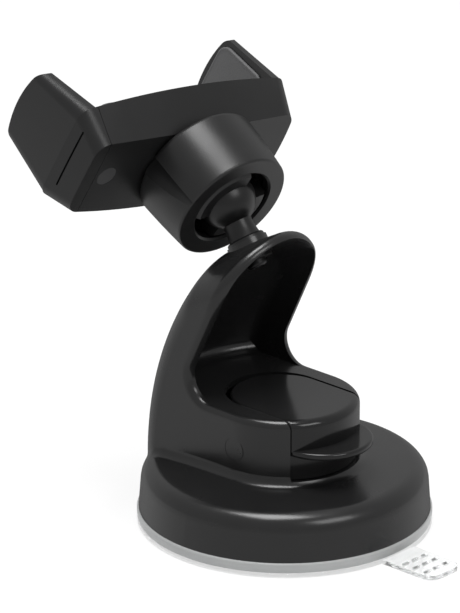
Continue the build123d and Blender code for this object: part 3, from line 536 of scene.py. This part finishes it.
def makeBackPad(settings):
    left, right = settings["ends"]
    half = settings["half"]
    corners = [(left, -half), (right, -half), (right, half), (left, half)]
    line = roundedLine(corners, [settings["corner"]] * len(corners))
    outline = evenly(line, settings["outlinePoints"])

    # grooves at even steps of y, rounded in section, that end short of the pad's own ends
    def grooves(x, y):
        every = settings["grooveEvery"]
        offset = np.abs((y + every / 2) % every - every / 2) / settings["grooveHalf"]
        inside = np.clip(np.minimum(x - left, right - x) - settings["grooveEnd"], 0, 1)
        inside *= np.abs(y) < half - settings["grooveMargin"]
        return -settings["grooveDeep"] * inside * np.sqrt(np.clip(1 - offset**2, 0, 1))

    rings = padRings(outline, settings["thickness"], settings["rim"], settings["crown"], grooves)
    rings = placed(rings, fromBall(0, 0, settings["foot"]), towardsJaw, upThePhone, towardsPhone)
    piece = ringMesh("backPad", rings, "cradle", "pad_rubber", "back_pad")


makeBackPad(backPad)

# suction cup: a turned profile, r and z, with its lip rolled round
# known fault: (40.6, 4.3) is on a straight run but has a radius, 0.8, so seven rings come out as
# nan; taking that point and its radius out mends it
suctionCup = {
    "profile": [
        (0.05, 1.3), (42.25, 1.3), (42.5, 2.6), (42.5, 4.3), (40.6, 4.3), (33.0, 4.3), (30.0, 3.5),
        (13.5, 3.5), (11.6, 8.0), (6.15, 8.0), (6.15, 6.9), (9.1, 6.9), (9.1, 5.1), (0.05, 5.1),
    ],
    "radii": [0, 0.3, 1.2, 0.5, 0.8, 1.5, 1.5, 1.5, 0.5, 0.2, 0.3, 0.3, 0.2, 0],
    "arcSteps": 7,
    "around": 256,
    "still": 4.35,
    "lifted": 5.05,
}


# the cup is built as one piece, joined to no body, and its shape is baked where it stands
def makeSuctionCup(profile, radii, arcSteps, around, still, lifted):
    radius, height = roundedLine(profile, radii, steps=arcSteps).T
    turn = np.arange(around) / around * 2 * math.pi
    rings = np.stack([
        radius[:, None] * np.cos(turn),
        radius[:, None] * np.sin(turn),
        np.repeat(height[:, None], around, 1),
    ], -1)
    piece = ringMesh("suctionCup", rings, None, "cup_rubber", "suction_cup")
    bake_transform(piece)


makeSuctionCup(**suctionCup)

# coils round the guide rods, which the carriage presses towards the far rib as the jaw opens; here
# they are built at one length and ride the cradle
returnSprings = {
    "start": 5.3, "end": 32.7, "turns": 10, "coil": 1.6, "wire": 0.2, "rodY": 6.5, "rodZ": 23.5,
    "steps": 260, "around": 12, "keep": 0.2,
}


# a round section carried along a helix: its circle lies in the plane of the coil's radius and the
# binormal, which is square to the wire
def makeReturnSprings(settings):
    start, end, coil = settings["start"], settings["end"], settings["coil"]
    share = np.linspace(0, 1, settings["steps"])
    angle = share * settings["turns"] * 2 * math.pi
    rise = np.full_like(angle, (end - start) / (settings["turns"] * 2 * math.pi))
    radial = np.stack([0 * angle, np.cos(angle), np.sin(angle)], -1)
    ahead = np.stack([rise, -coil * np.sin(angle), coil * np.cos(angle)], -1)
    ahead /= np.linalg.norm(ahead, axis=1)[:, None]
    binormal = np.cross(ahead, radial)
    section = np.arange(settings["around"]) / settings["around"] * 2 * math.pi
    outwards, sideways = np.cos(section)[:, None], np.sin(section)[:, None]
    spokes = outwards * radial[:, None] + sideways * binormal[:, None]
    for name, side in (("upperSpring", 1), ("lowerSpring", -1)):
        middle = np.stack([
            start + (end - start) * share,
            side * settings["rodY"] + coil * radial[:, 1],
            settings["rodZ"] + coil * radial[:, 2],
        ], -1)
        rings = middle[:, None] + settings["wire"] * spokes
        rings = placed(rings, fromBall(0, 0, 0), towardsJaw, upThePhone, towardsPhone)
        piece = ringMesh(name, rings, "cradle", "spring_steel", "return_springs")
        anchor = fromBall(end, side * settings["rodY"], settings["rodZ"]) * mm
        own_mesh(piece)


makeReturnSprings(returnSprings)

# gel pad with its pull tab: cross sections along y, each from the left edge over the top to the
# right edge and back underneath; the tab's grip slots are sunk almost through it
gelPad = {
    "radius": 42.5, "thickness": 1.3, "rim": 0.4,
    "tabMiddle": -1.5, "tabHalf": 6.8, "tabEnd": 61.0, "tabCorner": 4.0, "tabFoot": 41.5,
    "slotRows": (48.8, 52.7, 56.8), "slotColumns": 3, "slotEvery": 4.0, "slotHalfLength": 1.3,
    "slotHalf": 0.45, "slotEdge": 0.24, "slotFloor": 0.15,
    "discRows": 120, "discStart": 0.02, "tabRows": 110, "across": 66, "rimSteps": 5,
    "rimShare": 0.45, "rimUnder": 0.3, "discEnds": 7.0, "skin": 0.01,
}


def makeGelPad(settings):
    radius, thickness = settings["radius"], settings["thickness"]
    foot, end, corner = settings["tabFoot"], settings["tabEnd"], settings["tabCorner"]
    tabLeft = settings["tabMiddle"] - settings["tabHalf"]
    tabRight = settings["tabMiddle"] + settings["tabHalf"]
    down = -radius * np.cos(np.linspace(settings["discStart"], math.pi, settings["discRows"]))
    y = np.concatenate([down[down < foot], np.linspace(foot, end, settings["tabRows"])])
    disc = np.sqrt(np.clip(radius**2 - y**2, 0, None))
    shrink = corner - np.sqrt(np.clip(corner**2 - np.clip(y - end + corner, 0, None) ** 2, 0, None))
    onTab = y >= foot
    left = np.where(onTab, np.minimum(-disc, tabLeft + shrink), -disc)
    right = np.where(onTab, np.maximum(disc, tabRight - shrink), disc)
    pastDisc = onTab & (disc < settings["discEnds"])
    left = np.where(pastDisc, tabLeft + shrink, left)
    right = np.where(pastDisc, tabRight - shrink, right)
    rim = np.minimum(settings["rim"], settings["rimShare"] * (right - left))[:, None]
    rimUnder = rim * settings["rimUnder"]
    share = np.linspace(0, 1, settings["across"])
    turn = np.linspace(0, math.pi / 2, settings["rimSteps"])
    left, right = left[:, None], right[:, None]
    span = right - left - 2 * rim
    x = np.concatenate([
        left + rim * (1 - np.cos(turn)), left + rim + span * share[1:-1],
        right - rim * (1 - np.cos(turn[::-1])), right - rimUnder + 0 * turn[:1],
        right - rim - span * share[1:-1], left + rimUnder + 0 * turn[:1],
    ], 1)
    z = np.concatenate([
        thickness - rim * (1 - np.sin(turn)), 0 * rim + thickness + 0 * share[1:-1],
        thickness - rim * (1 - np.sin(turn[::-1])), 0 * rim + 0 * turn[:1],
        0 * rim + 0 * share[1:-1], 0 * rim + 0 * turn[:1],
    ], 1)
    y = np.repeat(y[:, None], x.shape[1], 1)
    # depth of the slots: full where a point is within the slot's half width of its middle line
    every, edge = settings["slotEvery"], settings["slotEdge"]
    reach = settings["slotColumns"] / 2 * every
    beside = (x - settings["tabMiddle"] + reach) % every - every / 2
    beyond = np.clip(np.abs(beside) - settings["slotHalfLength"] + settings["slotHalf"], 0, None)
    columns = np.abs(x - settings["tabMiddle"]) < reach
    rows = np.min([np.abs(y - row) for row in settings["slotRows"]], axis=0)
    within = settings["slotHalf"] + edge / 2 - np.hypot(rows, beyond)
    sunk = np.clip(within / edge, 0, 1) * columns
    onTop = z > thickness - settings["skin"]
    z = np.where(onTop, z - (thickness - settings["slotFloor"]) * sunk, z)
    ringMesh("gelPad", np.stack([x, y, z], -1), "base", "clear_gel", "gel_pad")


makeGelPad(gelPad)

# stage, light and camera
cameraSettings = {
    "azimuth": 133.2,
    "elevation": 21.6,
    "aim": (-4.45 * mm, -25.73 * mm, 56.99 * mm),
    "distance": 1.6,
    "fieldHeight": 176.35 * mm,
    "filmHeight": 36.0,
    "clip": (0.05, 20.0),
}
lamps = {
    "topLight": {
        "azimuth": 70, "elevation": 85, "distance": 0.9, "size": (0.45, 0.4), "power": 9.0,
    },
    "frontLight": {
        "azimuth": 178, "elevation": 42, "distance": 1.1, "size": (0.5, 0.35), "power": 4.0,
    },
}
lampTarget = (0.0, -0.02, 0.06)
worldLevel = 0.75
floorSettings = {
    "half": 3.0, "under": 0.1, "level": 0.86, "roughness": 0.9, "gloss": 0.1, "whiter": 0.86,
}


def aimFrom(azimuth, elevation):
    turn = math.radians(azimuth)
    rise = math.radians(elevation)
    return Vector((
        math.sin(turn) * math.cos(rise),
        -math.cos(turn) * math.cos(rise),
        math.sin(rise),
    ))


def makeCamera(azimuth, elevation, aim, distance, fieldHeight, filmHeight, clip):
    data = bpy.data.cameras.new("camera")
    data.sensor_width = filmHeight
    data.lens = filmHeight * distance / fieldHeight
    data.clip_start, data.clip_end = clip
    camera = bpy.data.objects.new("camera", data)
    scene.collection.objects.link(camera)
    back = aimFrom(azimuth, elevation)
    camera.location = Vector(aim) + back * distance
    camera.rotation_euler = (-back).to_track_quat("-Z", "Y").to_euler()
    scene.camera = camera


def addLamp(name, azimuth, elevation, distance, size, power):
    data = bpy.data.lights.new(name, "AREA")
    data.shape = "RECTANGLE"
    data.size, data.size_y = size
    data.energy = power
    lamp = bpy.data.objects.new(name, data)
    scene.collection.objects.link(lamp)
    back = aimFrom(azimuth, elevation)
    lamp.location = Vector(lampTarget) + back * distance
    lamp.rotation_euler = (-back).to_track_quat("-Z", "Y").to_euler()


# white to the camera, to reflections and through clear plastic; a plain grey level as light
def makeWorld(level):
    world = bpy.data.worlds.new("studio")
    scene.world = world
    world.use_nodes = True
    tree = world.node_tree
    tree.nodes.clear()
    path = tree.nodes.new("ShaderNodeLightPath")
    clear = tree.nodes.new("ShaderNodeMath")
    clear.operation = "MAXIMUM"
    tree.links.new(path.outputs["Is Glossy Ray"], clear.inputs[0])
    tree.links.new(path.outputs["Is Transmission Ray"], clear.inputs[1])
    seen = tree.nodes.new("ShaderNodeMath")
    seen.operation = "MAXIMUM"
    tree.links.new(path.outputs["Is Camera Ray"], seen.inputs[0])
    tree.links.new(clear.outputs[0], seen.inputs[1])
    strength = tree.nodes.new("ShaderNodeMapRange")
    tree.links.new(seen.outputs[0], strength.inputs["Value"])
    strength.inputs["To Min"].default_value = level
    strength.inputs["To Max"].default_value = 1.0
    background = tree.nodes.new("ShaderNodeBackground")
    tree.links.new(strength.outputs[0], background.inputs["Strength"])
    output = tree.nodes.new("ShaderNodeOutputWorld")
    tree.links.new(background.outputs[0], output.inputs["Surface"])


# a pale floor that fades to plain white where it isn't shaded
def makeFloor(half, under, level, roughness, gloss, whiter):
    mesh = bpy.data.meshes.new("floor")
    sides = ((-half, -half), (half, -half), (half, half), (-half, half))
    mesh.from_pydata([(x, y, -under * mm) for x, y in sides], [], [(0, 1, 2, 3)])
    floor = bpy.data.objects.new("floor", mesh)
    scene.collection.objects.link(floor)
    shader = Shader("floor")
    path = shader.put("ShaderNodeLightPath")
    pale = {
        "Base Color": (level, level, level, 1), "Roughness": roughness, "Specular IOR Level": gloss,
    }
    plain = {"Color": (1, 1, 1, 1), "Strength": 1.0}
    matt = shader.put("ShaderNodeBsdfPrincipled", {}, pale)["BSDF"]
    white = shader.put("ShaderNodeEmission", {}, plain)["Emission"]
    seen = path["Is Camera Ray"].maths("MAXIMUM", path["Is Transmission Ray"])
    seen = seen.maths("MAXIMUM", path["Is Glossy Ray"])
    sockets = {0: seen * whiter, 1: matt, 2: white}
    mixed = shader.put("ShaderNodeMixShader", {}, sockets)["Shader"]
    shader.put("ShaderNodeOutputMaterial", {}, {"Surface": mixed})
    finish(floor, shader.material)


makeCamera(**cameraSettings)
makeWorld(worldLevel)
makeFloor(**floorSettings)
for lampName, lampSettings in lamps.items():
    addLamp(lampName, **lampSettings)
scene.view_settings.view_transform = "Standard"
print("stage set")
